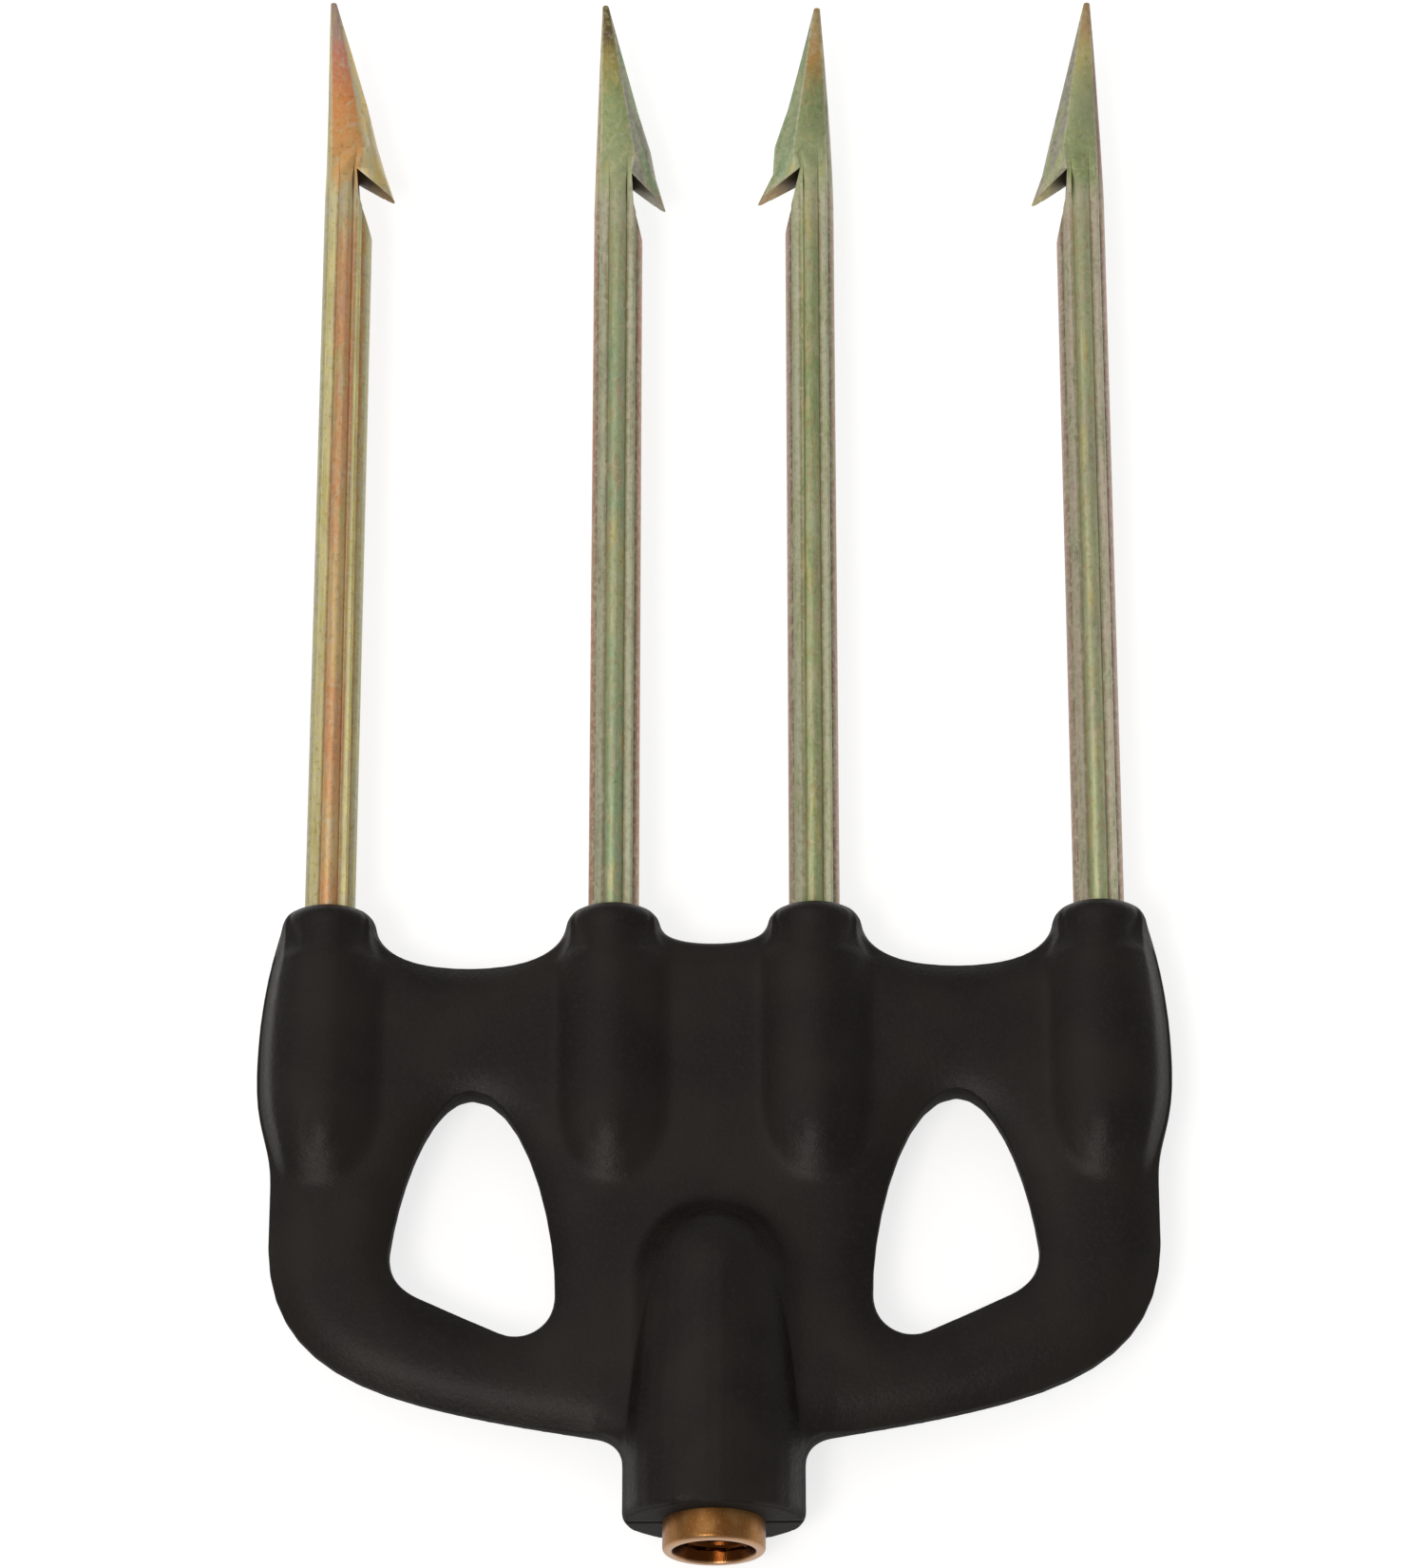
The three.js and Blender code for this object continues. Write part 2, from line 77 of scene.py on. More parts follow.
# How far below the tip the hand's moves start and end and the mesh is cut to follow them, and how far
# out from the bar's line the barb's swell and the slit's shift come in.
MOVES_START = 40 * MM
RAMP_START = 26 * MM
LEAN_LENGTH = 19 * MM
LEAN_POWER = 1.3
POINT_LENGTH = 15 * MM
SWELL_ENDS = (16 * MM, 10 * MM)
RING_CUTS = (6 * MM, 12 * MM, 16 * MM, 19 * MM)
SWELL_REACH = (1.6 * MM, 2.4 * MM)
SLIT_REACH = (0, 1.3 * MM, 1.6 * MM, 4.2 * MM)
GREEN = (0.42, 0.46, 0.25)
BLUE_GREEN = (0.32, 0.42, 0.24)
LEAF = (0.31, 0.38, 0.17)
OLIVE = (0.52, 0.47, 0.19)
MOSS = (0.40, 0.33, 0.10)
YELLOW = (0.66, 0.58, 0.20)
GOLD = (0.80, 0.58, 0.22)
CITRON = (0.93, 0.80, 0.18)
HONEY = (0.66, 0.45, 0.20)
AMBER = (0.68, 0.40, 0.15)
STRAW = (0.66, 0.57, 0.35)
ORANGE = (0.68, 0.27, 0.09)
CORAL = (0.66, 0.33, 0.15)
RUST = (0.50, 0.29, 0.09)
TAN = (0.46, 0.31, 0.15)
PINK = (0.62, 0.25, 0.18)
MAUVE = (0.47, 0.33, 0.28)
ROSE = (0.50, 0.29, 0.22)
MAROON = (0.22, 0.16, 0.12)
SLATE = (0.38, 0.36, 0.30)
LICHEN = (0.38, 0.39, 0.25)
SAGE = (0.47, 0.45, 0.31)
UMBER = (0.26, 0.17, 0.08)
BROWN = (0.17, 0.12, 0.055)
SLIT_SHADE = (0.05, 0.035, 0.02)
PALE = (0.60, 0.56, 0.42)
# How far each grinder's hand strayed, in mm: the point, the barb, the slit's root and its ramp along the
# bar, the point sideways, how far the barb swells and is bent out, where the slit's end and wall lie,
# how blunt the barb is, and where its gold stripe runs. The blade's colours run from barb to point.
PRONGS = {
    "prong_outer_left": {
        "point": 0.0, "barb": 0.7, "root": 0.2, "ramp": 0.15, "lean": -0.6, "swell": -0.2, "flare": 0.0,
        "slit": -0.5, "wall": -0.45, "blunt": 0.08, "stripe": -4.0, "seed": 3.0,
        "rib": (HONEY, CORAL, OLIVE), "shoulder": (YELLOW, CITRON), "flank": (OLIVE, SAGE),
        "strip": STRAW, "bevel": (STRAW, GOLD), "under": UMBER, "blade": (AMBER, ORANGE, PINK, MAUVE),
    },
    "prong_inner_left": {
        "point": -0.6, "barb": -0.5, "root": -0.6, "ramp": -0.3, "lean": 0.0, "swell": 0.2, "flare": 0.1,
        "slit": 0.0, "wall": 0.0, "blunt": 0.45, "stripe": -4.3, "seed": 17.0,
        "rib": (GREEN, BLUE_GREEN, OLIVE), "shoulder": (LICHEN, BLUE_GREEN), "flank": (MAROON, ROSE),
        "strip": STRAW, "bevel": (SLATE, BLUE_GREEN), "under": SLATE, "blade": (GREEN, LEAF, MOSS, BROWN),
    },
    "prong_inner_right": {
        "point": -1.1, "barb": 0.1, "root": -0.2, "ramp": 0.4, "lean": 0.5, "swell": 0.4, "flare": 0.5,
        "slit": -0.45, "wall": 0.0, "blunt": 1.6, "stripe": -4.6, "seed": 31.0,
        "rib": (LEAF, GREEN, OLIVE), "shoulder": (GREEN, BLUE_GREEN), "flank": (MAROON, MAUVE),
        "strip": PALE, "bevel": (GREEN, BLUE_GREEN), "under": TAN, "blade": (GREEN, LEAF, RUST, TAN),
    },
    "prong_outer_right": {
        "point": -0.8, "barb": -0.25, "root": -0.6, "ramp": -0.8, "lean": 0.2, "swell": 0.0, "flare": 0.2,
        "slit": -0.1, "wall": -0.1, "blunt": 0.5, "stripe": -5.0, "seed": 44.0,
        "rib": (GREEN, LICHEN, OLIVE), "shoulder": (LICHEN, MAUVE), "flank": (MAROON, MAUVE),
        "strip": MAUVE, "bevel": (SLATE, GREEN), "under": OLIVE, "blade": (LEAF, GREEN, OLIVE, TAN),
    },
}


class Value:
    """A socket of a finish, so that shader maths reads as an expression."""

    def __init__(self, finish, socket):
        self.finish = finish
        self.socket = socket

    def maths(self, operation, *values):
        return self.finish.node("ShaderNodeMath", {"operation": operation}, *values)

    def __add__(self, other):
        return self.maths("ADD", self, other)

    def __sub__(self, other):
        return self.maths("SUBTRACT", self, other)

    def __rsub__(self, other):
        return self.maths("SUBTRACT", other, self)

    def __mul__(self, other):
        return self.maths("MULTIPLY", self, other)

    def __pow__(self, other):
        return self.maths("POWER", self, other)

    def __abs__(self):
        return self.maths("ABSOLUTE", self)

    __radd__ = __add__
    __rmul__ = __mul__

    def root(self):
        return self.maths("SQRT", self)

    def least(self, other):
        return self.maths("MINIMUM", self, other)

    def most(self, other):
        return self.maths("MAXIMUM", self, other)

    def between(self, low, high):
        """0 at low, 1 at high, and smooth in between."""
        settings = {"interpolation_type": "SMOOTHSTEP"}
        return self.finish.node("ShaderNodeMapRange", settings, self, low, high, 0, 1)

    def near(self, middle, reach):
        """1 at the middle, falling smoothly to 0 at its reach."""
        return 1 - abs(self - middle).between(0, reach)


class Finish:
    """The nodes of one material, or of the world."""

    def __init__(self, owner):
        owner.use_nodes = True
        self.owner = owner
        self.tree = owner.node_tree

    def node(self, kind, settings, *values, output=0, **named):
        """Adds a node: its settings, then the numbers, colours or links of its sockets."""
        made = self.tree.nodes.new(kind)
        for key, value in settings.items():
            if key == "stops":
                self.set_stops(made.color_ramp, value)
            else:
                setattr(made, key, value)
        for key, value in [*enumerate(values), *named.items()]:
            self.feed(made.inputs[key if isinstance(key, int) else key.replace("_", " ")], value)
        return Value(self, made.outputs[output]) if made.outputs else None

    def set_stops(self, ramp, stops):
        while len(ramp.elements) < len(stops):
            ramp.elements.new(1.0)
        for element, (place, colour) in zip(ramp.elements, stops):
            element.position = place
            element.color = (*colour, 1.0)

    def feed(self, socket, value):
        if isinstance(value, Value):
            self.tree.links.new(value.socket, socket)
        elif value is not None:
            socket.default_value = (*value, 1.0) if socket.type == "RGBA" else value

    def mix(self, share, first, second):
        """The colour that is first where share is 0 and second where it is 1."""
        made = self.tree.nodes.new("ShaderNodeMix")
        made.data_type = "RGBA"
        self.feed(made.inputs[0], share)
        self.feed(made.inputs[6], first)
        self.feed(made.inputs[7], second)
        return Value(self, made.outputs[2])

    def place(self):
        """x, y and z in the frame of the part."""
        spot = self.node("ShaderNodeTexCoord", {}, output="Object")
        return [self.node("ShaderNodeSeparateXYZ", {}, spot, output=i) for i in range(3)]

    def facing(self):
        """x, y and z of the direction that the surface faces."""
        normal = self.node("ShaderNodeNewGeometry", {}, output="Normal")
        return [self.node("ShaderNodeSeparateXYZ", {}, normal, output=i) for i in range(3)]

    def noise(self, size, stretch=(1, 1, 1), seed=0.0, detail=2.0, roughness=0.5, spot=None):
        """Cloudy noise from 0 to 1 with blotches about size across, longer where stretch is more."""
        spot = spot or self.node("ShaderNodeTexCoord", {}, output="Object")
        scale = tuple(1 / (size * s) for s in stretch)
        spot = self.node("ShaderNodeMapping", {}, spot, (seed, 2 * seed, 3 * seed), (0, 0, 0), scale)
        return self.node("ShaderNodeTexNoise", {}, spot, Scale=1.0, Detail=detail, Roughness=roughness)

    def bump(self, height, depth, under=None):
        return self.node("ShaderNodeBump", {}, Height=height, Distance=depth, Normal=under)

    def surface(self, **sockets):
        shader = self.tree.nodes["Principled BSDF"]
        for key, value in sockets.items():
            self.feed(shader.inputs[key.replace("_", " ")], value)
        return self.owner


def mesh_piece(name, points, faces):
    data = bpy.data.meshes.new(name)
    data.from_pydata([tuple(p) for p in points], [], [tuple(f) for f in faces])
    data.update()
    piece = bpy.data.objects.new(name, data)
    bpy.context.scene.collection.objects.link(piece)
    return piece


def dress(piece, slot, *materials):
    piece.data.materials.clear()
    for material in materials:
        piece.data.materials.append(material)
    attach(piece, "root")


def prong_axis(node):
    """x of the bar's own line, and the side that the barb is on."""
    low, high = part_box(node)
    side = 1 if "left" in node else -1
    return (low.x + PRONG_HALF if side > 0 else high.x - PRONG_HALF), side


def round_corner(shape, reach, width):
    """Rounds the upright edges that lie at the far end of a prong, as reach measures it."""
    far = max(reach(vertex.co) for vertex in shape.verts)
    corner = [e for e in shape.edges if all(reach(v.co) > far - 0.02 * MM for v in e.verts)
              and abs(e.verts[0].co.z - e.verts[1].co.z) > 0.3 * MM]
    bmesh.ops.bevel(shape, geom=corner, offset=width, segments=3, profile=0.5, affect="EDGES")


def strayed(spot, hand, axis, side, tip):
    """Where the grinder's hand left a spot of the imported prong."""
    barb, root = tip - HEAD_LENGTH, tip - ROOT_LENGTH
    y = spot.y
    out = side * (spot.x - axis)
    lean = hand["lean"] * min(1, max(0, (y - tip + LEAN_LENGTH) / LEAN_LENGTH)) ** LEAN_POWER
    heights = [barb - 0.1 * MM, barb, root, *(tip - end for end in SWELL_ENDS)]
    swell = np.interp(y, heights, [0, hand["flare"], 0, hand["swell"], 0])
    swell *= np.interp(out, SWELL_REACH, [0, 1])
    heights = [barb - NOTCH_RAMP, barb, root, root + SLIT_FADE]
    cut = np.interp(y, heights, [0, hand["wall"], hand["slit"], 0])
    cut *= np.interp(out, SLIT_REACH, [0, 1, 1, 0])
    heights = [tip - MOVES_START, tip - RAMP_START, barb, root, tip - POINT_LENGTH, tip]
    moves = [0, hand["ramp"], hand["barb"], hand["root"], hand["root"], hand["point"]]
    aside = side * MM * (lean + swell + cut)
    return Vector((spot.x + aside, y + MM * np.interp(y, heights, moves), spot.z))


def ground_prong(node, hand):
    """The prong as it left the grinder: its faces made whole, its point drawn in and its edges worn."""
    axis, side = prong_axis(node)
    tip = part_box(node)[1].y
    shape = bmesh.new()
    shape.from_mesh(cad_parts[node].data)
    bmesh.ops.remove_doubles(shape, verts=shape.verts, dist=0.0005 * MM)
    bmesh.ops.dissolve_limit(shape, angle_limit=math.radians(1), verts=shape.verts, edges=shape.edges)
    round_corner(shape, lambda spot: spot.y, BLUNT_POINT)
    round_corner(shape, lambda spot: side * (spot.x - axis), hand["blunt"] * MM)
    for below_tip in RING_CUTS:
        whole = [*shape.verts, *shape.edges, *shape.faces]
        bmesh.ops.bisect_plane(shape, geom=whole, plane_co=(0, tip - below_tip, 0), plane_no=(0, 1, 0))
    for vertex in shape.verts:
        vertex.co = strayed(vertex.co, hand, axis, side, tip)
    piece = mesh_piece(node.replace("prong", "steel_prong"), [], [])
    shape.to_mesh(piece.data)
    shape.free()
    worn = piece.modifiers.new("worn_edges", "BEVEL")
    worn.width = WORN_EDGE
    worn.segments = 2
    worn.limit_method = "ANGLE"
    worn.angle_limit = math.radians(24)
    worn.harden_normals = True
    worn.material = 1
    for face in piece.data.polygons:
        face.use_smooth = True
    return piece


def bar_places(finish, node, hand):
    """Where a spot lies on the bar: along it, out towards the barb, across its section, in the head."""
    x, y, z = finish.place()
    axis, side = prong_axis(node)
    low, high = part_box(node)
    tip = high.y
    barb = tip - HEAD_LENGTH + hand["barb"] * MM
    across, up = abs(x - axis), abs(z - (low.z + high.z) / 2)
    leant = ((y - tip + LEAN_LENGTH) * (1 / LEAN_LENGTH)).most(0) ** LEAN_POWER * (hand["lean"] * MM)
    return SimpleNamespace(
        y=y, z=z, tip=tip, barb=barb, side=side, out=(x - axis) * side, leant=leant, across=across,
        inner=across.least(up), outer=across.most(up), head=y.between(barb - 0.5 * MM, barb + 2.5 * MM))


def plate_grain(finish, seed):
    """The plate's blotches, streaks, hair lines, specks and scratches, all from 0 to 1."""
    mottle = finish.noise(0.9 * MM, (0.8, 1.5, 0.8), seed + 19, detail=4.0, roughness=0.7)
    scratch = finish.noise(1.5 * MM, (0.8, 1.4, 0.8), seed + 21, detail=0.0).near(0.5, 0.05)
    return SimpleNamespace(
        drift=finish.noise(5 * MM, (1.2, 2.4, 1.2), seed, detail=3.0),
        second=finish.noise(2.6 * MM, (0.45, 2.6, 0.45), seed + 3, detail=4.0, roughness=0.6),
        streak=finish.noise(0.5 * MM, (0.7, 9, 0.7), seed + 5, detail=3.0),
        hair=finish.noise(0.22 * MM, (1, 12, 1), seed + 9, detail=3.0),
        fleck=finish.noise(0.42 * MM, (1, 1.4, 1), seed + 13, detail=3.0, roughness=0.7),
        mottle=mottle, scratch=scratch * mottle.between(0.45, 0.55))


def shoulder_shade(finish, hand, bar, grain):
    """The shoulders beside the ribs, drawn along the bar and worn pale at their rims."""
    dull, bright = hand["shoulder"]
    edge = finish.mix(grain.second.between(0.4, 0.6), dull, bright)
    edge = finish.mix(grain.streak.between(0.5, 0.7) * 0.35, edge, hand["rib"][0])
    edge = finish.mix(grain.hair.between(0.54, 0.64) * 0.5, edge, MAUVE)
    edge = finish.mix((1 - grain.hair.between(0.38, 0.46)) * 0.45, edge, hand["flank"][0])
    edge = finish.mix(grain.fleck.between(0.42, 0.68) * 0.35, edge, PALE)
    rim = bar.outer.near(SHOULDER - 0.06 * MM, 0.12 * MM)
    rim = rim * bar.inner.between(RIB_FOOT, RIB_FOOT + 0.1 * MM)
    return finish.mix(rim * grain.second.between(0.35, 0.55) * 0.6, edge, PALE)


def shaft_shade(finish, hand, bar, grain, shoulder):
    """The ribs with their drifting colours, the shoulders, the flanks, and painted shade in the flutes."""
    rib, tint, patch = hand["rib"]
    shade = finish.mix(grain.drift.between(0.4, 0.62), rib, tint)
    shade = finish.mix(grain.second.between(0.53, 0.68) * 0.85, shade, patch)
    shade = finish.mix(grain.streak.between(0.52, 0.66) * 0.4, shade, MAUVE)
    shade = finish.mix(grain.mottle.between(0.5, 0.62) * 0.45, shade, TAN)
    shade = finish.mix((1 - grain.hair.between(0.36, 0.46)) * 0.35, shade, PALE)
    shade = finish.mix(bar.inner.between(RIB_FOOT, RIB_FOOT + 0.15 * MM), shade, shoulder)
    # Each flank is painted darker next to its shoulder, as shade in the groove there, and lighter beyond.
    dark, light = hand["flank"]
    flank = finish.mix(bar.across.between(SHOULDER + 0.05 * MM, SHOULDER + 0.25 * MM), dark, light)
    flank = finish.mix(grain.streak.between(0.45, 0.65) * 0.5, flank, hand["shoulder"][0])
    flank = finish.mix(grain.fleck.between(0.48, 0.62) * 0.4, flank, PALE)
    shade = finish.mix(bar.across.between(SHOULDER, SHOULDER + 0.05 * MM), shade, flank)
    # Painted shade: the flutes at the foot of each rib are darkened as the shade in them.
    flute_shade = bar.inner.near(RIB_FOOT + 0.04 * MM, 0.22 * MM) * (1 - bar.outer.between(1.7 * MM, 1.9 * MM))
    return finish.mix(flute_shade * (1 - bar.head) * 0.55, shade, MAROON)


def blade_shade(finish, hand, bar, grain, shoulder):
    """The coined flat, whose colours run from barb to point, and the strip along its far side."""
    tint, patch = hand["rib"][1:]
    along = (bar.y - bar.barb) * (1 / HEAD_LENGTH) + (grain.mottle - 0.5) * 0.25 + (grain.drift - 0.5) * 0.2
    blade = finish.node("ShaderNodeValToRGB", {"stops": list(zip(BLADE_STOPS, hand["blade"]))}, along)
    blade = finish.mix(grain.streak.between(0.55, 0.75) * 0.4, blade, tint)
    blade = finish.mix(grain.mottle.between(0.52, 0.64) * 0.45, blade, patch)
    strip = finish.mix(grain.streak.between(0.4, 0.6) * 0.6, hand["strip"], shoulder)
    return finish.mix((bar.leant - bar.out).between(STRIP_START, STRIP_START + 0.08 * MM), blade, strip)


def bevelled(finish, hand, bar, grain, blade):
    """The blade with its ground bevel, banded along the grind, and with pale lips at its two bends."""
    below = bar.tip + hand["point"] * MM - bar.y
    curl = BEVEL_END - (below - BEVEL_LENGTH) * BEVEL_CURL
    beyond = bar.out - ((BEVEL_START + below * BEVEL_DRIFT).least(curl) + bar.leant)
    slanted = bar.out + below * BAND_SLANT
    slant = finish.node("ShaderNodeCombineXYZ", {}, slanted, bar.y * BAND_STRETCH, bar.z)
    band = finish.noise(0.5 * MM, (1, 1, 3), hand["seed"] + 27, detail=2.0, spot=slant)
    plain, stripe = hand["bevel"]
    bevel = finish.mix(band.between(0.42, 0.6), plain, stripe)
    gold = (bar.out + below * GOLD_SLANT).near(hand["stripe"] * MM, 0.3 * MM)
    gold = gold * band.between(0.3, 0.5) * (1 - bar.y.between(bar.barb + 5 * MM, bar.barb + 8 * MM))
    bevel = finish.mix(gold * 0.8, bevel, YELLOW)
    bevel = finish.mix(grain.fleck.between(0.48, 0.62) * 0.25, bevel, PALE)
    blade = finish.mix(beyond.between(0, 0.06 * MM), blade, bevel)
    lip = beyond.near(0.02 * MM, 0.14 * MM).most((bar.leant - bar.out).near(STRIP_START, 0.12 * MM))
    return finish.mix(lip * (0.35 + 0.5 * grain.fleck.between(0.35, 0.6)), blade, PALE)


def passivated(node, hand, wear):
    """The plate's colour by place: shaft and head, painted shade on the faces in the slit, and wear over
    all.
    """
    finish = Finish(bpy.data.materials.new(("worn_" if wear else "passivated_") + node))
    face_x, face_y = finish.facing()[:2]
    bar = bar_places(finish, node, hand)
    grain = plate_grain(finish, hand["seed"])
    shoulder = shoulder_shade(finish, hand, bar, grain)
    shaft = shaft_shade(finish, hand, bar, grain, shoulder)
    blade = bevelled(finish, hand, bar, grain, blade_shade(finish, hand, bar, grain, shoulder))
    shade = finish.mix(bar.head, shaft, blade)
    foot = bar.y.near(bar.barb - 0.6 * MM, 3.2 * MM) * grain.mottle.between(0.38, 0.58)
    shade = finish.mix(foot * 0.55, shade, PALE)

    # Painted shade: the faces under the barb are painted dark towards the slit's root, and the bar's wall
    # inside the slit near black.
    below_barb = (0 - face_y).between(0.3, 0.6) * bar.y.between(bar.barb - 1 * MM, bar.barb)
    below_barb = below_barb * (1 - bar.y.between(bar.barb + 5 * MM, bar.barb + 6 * MM))
    under_barb_shade = finish.mix(bar.out.between(1.2 * MM, 3.6 * MM), SLIT_SHADE, hand["under"])
    under_barb_shade = finish.mix(grain.mottle.between(0.4, 0.65) * 0.5, under_barb_shade, BROWN)
    shade = finish.mix(below_barb, shade, under_barb_shade)
    wall = (face_x * bar.side).between(0.6, 0.9) * (1 - bar.out.between(1.6 * MM, 1.7 * MM))
    wall = wall * bar.y.near(bar.barb + 1.6 * MM, 3 * MM)
    shade = finish.mix(wall, shade, SLIT_SHADE)

    open_face = 1 - below_barb.most(wall)
    shade = finish.mix(grain.fleck.between(0.5, 0.64) * open_face * 0.22, shade, PALE)
    shade = finish.mix((1 - grain.fleck.between(0.32, 0.46)) * 0.28, shade, BROWN)
    shade = finish.mix(grain.scratch * open_face * 0.4, shade, PALE)
    if wear:
        shade = finish.mix(open_face * (0.25 + 0.65 * grain.fleck.between(0.3, 0.6)), shade, PALE)
    rough = 0.33 + 0.14 * grain.streak + 0.16 * grain.fleck
    relief = finish.bump(grain.fleck + 0.5 * grain.mottle, PLATE_RELIEF)
    relief = finish.bump(grain.streak, PLATE_RELIEF, relief)
    return finish.surface(Base_Color=shade, Metallic=PLATE_METALLIC, Roughness=rough, Normal=relief)


for node, hand in PRONGS.items():
    prong = ground_prong(node, hand)
    dress(prong, "passivated_steel", passivated(node, hand, False), passivated(node, hand, True))
    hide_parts(node)

# Bush: turned brass with an M7 thread cut inside and a chamfered mouth. It is laid in the mould and
# stands a little out of the neck.
PARTING = (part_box("threaded_bush")[0].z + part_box("threaded_bush")[1].z) / 2
BUSH_SIDES = 160
BUSH_RIM = 0.4 * MM
MOUTH_RADIUS = 3.7 * MM
MOUTH_STEEPNESS = 0.35
THREAD_TOP = 3.5 * MM
THREAD_ROOT = 2.98 * MM
THREAD_PITCH = 1.0 * MM
THREAD_STEPS = 12
THREAD_SLOPE = 2.5
THREAD_FLAT = 0.2
MOUTH_CHAMFER = (0.04 * MM, 0.03 * MM)
BORE_DEPTH = 12.3 * MM
DRILL_POINT = 1.4 * MM
TURNING_RELIEF = 0.012 * MM
BRASS = (0.34, 0.175, 0.062)
TARNISH = (0.22, 0.088, 0.022)
MOUTH_BRASS = (0.50, 0.31, 0.19)
BORE_SHADE = (0.07, 0.020, 0.004)


def bush_rings(turns):
    """Height and radii of rings from the buried end along the outside, over the rim, down the thread."""
    low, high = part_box("threaded_bush")
    mouth = low.y
    radius = (high.x - low.x) / 2
    rings = [(high.y, 0), (high.y, radius), (mouth + BUSH_RIM, radius)]
    for share in (0.25, 0.5, 0.75, 1.0):
        lean = share * math.pi / 2
        rings.append((mouth + BUSH_RIM * (1 - math.sin(lean)), radius - BUSH_RIM * (1 - math.cos(lean))))
    rings += [(mouth, MOUTH_RADIUS + MOUTH_CHAMFER[0]), (mouth + MOUTH_CHAMFER[1], MOUTH_RADIUS)]
    profile = [(y, np.full(BUSH_SIDES, r)) for y, r in rings]
    steps = int(BORE_DEPTH / THREAD_PITCH * THREAD_STEPS)
    for step in range(1, steps):
        depth = step * THREAD_PITCH / THREAD_STEPS
        phase = (depth / THREAD_PITCH + turns / (2 * math.pi)) % 1
        flank = np.clip(np.abs(phase - 0.5) * THREAD_SLOPE - THREAD_FLAT, 0, 1)
        thread = THREAD_ROOT + (THREAD_TOP - THREAD_ROOT) * flank
        profile.append((mouth + depth, np.maximum(thread, MOUTH_RADIUS - MOUTH_STEEPNESS * depth)))
    profile.append((mouth + BORE_DEPTH + DRILL_POINT, np.zeros(BUSH_SIDES)))
    return profile


def threaded_bush():
    """The rings joined to one closed skin, which is smooth except at its sharp bends."""
    turns = np.linspace(0, 2 * math.pi, BUSH_SIDES, endpoint=False)
    profile = bush_rings(turns)
    points = [(r * math.cos(t), y, PARTING + r * math.sin(t))
              for y, ring in profile for r, t in zip(ring, turns)]
    faces = []
    for ring in range(len(profile) - 1):
        for i in range(BUSH_SIDES):
            a, b = ring * BUSH_SIDES + i, ring * BUSH_SIDES + (i + 1) % BUSH_SIDES
            faces.append((a, b, b + BUSH_SIDES, a + BUSH_SIDES))
    piece = mesh_piece("brass_bush", points, faces)
    shape = bmesh.new()
    shape.from_mesh(piece.data)
    bmesh.ops.remove_doubles(shape, verts=shape.verts, dist=0.001 * MM)
    bmesh.ops.recalc_face_normals(shape, faces=shape.faces)
    for face in shape.faces:
        face.smooth = True
    for edge in shape.edges:
        edge.smooth = len(edge.link_faces) < 2 or edge.calc_face_angle() < math.radians(32)
    shape.to_mesh(piece.data)
    shape.free()
    return piece


def turned_brass():
    finish = Finish(bpy.data.materials.new("turned_brass"))
    x, y, z = finish.place()
    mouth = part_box("threaded_bush")[0].y
    off_axis = (x * x + (z - PARTING) * (z - PARTING)).root()
    lines = finish.noise(0.16 * MM, (1, 12, 1), 2.0)
    stain = finish.noise(2.4 * MM, (1, 1, 1), 6.0, detail=3.0)
    speck = finish.noise(0.2 * MM, (1, 1, 1), 8.0, detail=2.0)
    shade = finish.mix(stain.between(0.35, 0.7), BRASS, TARNISH)
    shade = finish.mix(lines.between(0.4, 0.65) * 0.35, shade, TARNISH)
    # The mouth's rim and chamfer are painted pale: clean turned brass, and partly a painted highlight on
    # the rim.
    shade = finish.mix((1 - y.between(mouth, mouth + 0.3 * MM)) * 0.8, shade, MOUTH_BRASS)
    shade = finish.mix(speck.between(0.55, 0.75) * 0.3, shade, MOUTH_BRASS)
    # Painted shade: the bore beyond its mouth is painted dark, as the shade inside it.
    bore = 1 - off_axis.between(MOUTH_RADIUS - 0.1 * MM, MOUTH_RADIUS)
    shade = finish.mix(bore * y.between(mouth, mouth + 0.3 * MM), shade, BORE_SHADE)
    relief = finish.bump(lines + 0.5 * speck, TURNING_RELIEF)
    rough = 0.26 + 0.2 * lines - 0.1 * bore
    return finish.surface(Base_Color=shade, Metallic=1.0, Roughness=rough, Normal=relief)


bush = threaded_bush()
dress(bush, "brass", turned_brass())
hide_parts("threaded_bush")

# Body: black nylon, shot round the steel and the brass in one go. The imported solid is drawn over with
# a fine even skin and relaxed, so that fingers, boss and rolled edges flow together as in the mould.
SKIN_PITCH = 0.3 * MM
SKIN_PASSES = 12
PULL_IN = 0.5
PUSH_OUT = 0.52
SOCKET_PLUG = 2.9 * MM
SOCKET_DEPTH = 22 * MM
BUSH_PLUG = 4.9 * MM
SEAT_DEPTH = 13 * MM
PLATE_HALF = 2.1 * MM
SIDE_SHARE = 0.4
SWELL_TOP = 5 * MM
FINGER_FOOT = 0.35 * MM
FINGER_HALF = 4.9 * MM
FINGER_OUTER_HALF = 7.4 * MM
FINGER_RISE = 2.25 * MM
FINGER_STRAIGHT = 18.5 * MM
FINGER_TIP = 7.8 * MM
BOSS_FOOT = 0.9 * MM
BOSS_HALF = 6.9 * MM
BOSS_RISE = 4.55 * MM
BOSS_TOP = 28.9 * MM
ROLL_CELL = 0.45 * MM
ROLL_MARGIN = 12
ROLL_PASSES = 60
ROLL_DROP = 1.7 * MM
ROLL_POWER = 1.3
ROLL_FADE = 3 * MM
ROLL_OFF_BOSS = (7.5 * MM, 31 * MM)
SEAM_DEPTH = 0.25 * MM
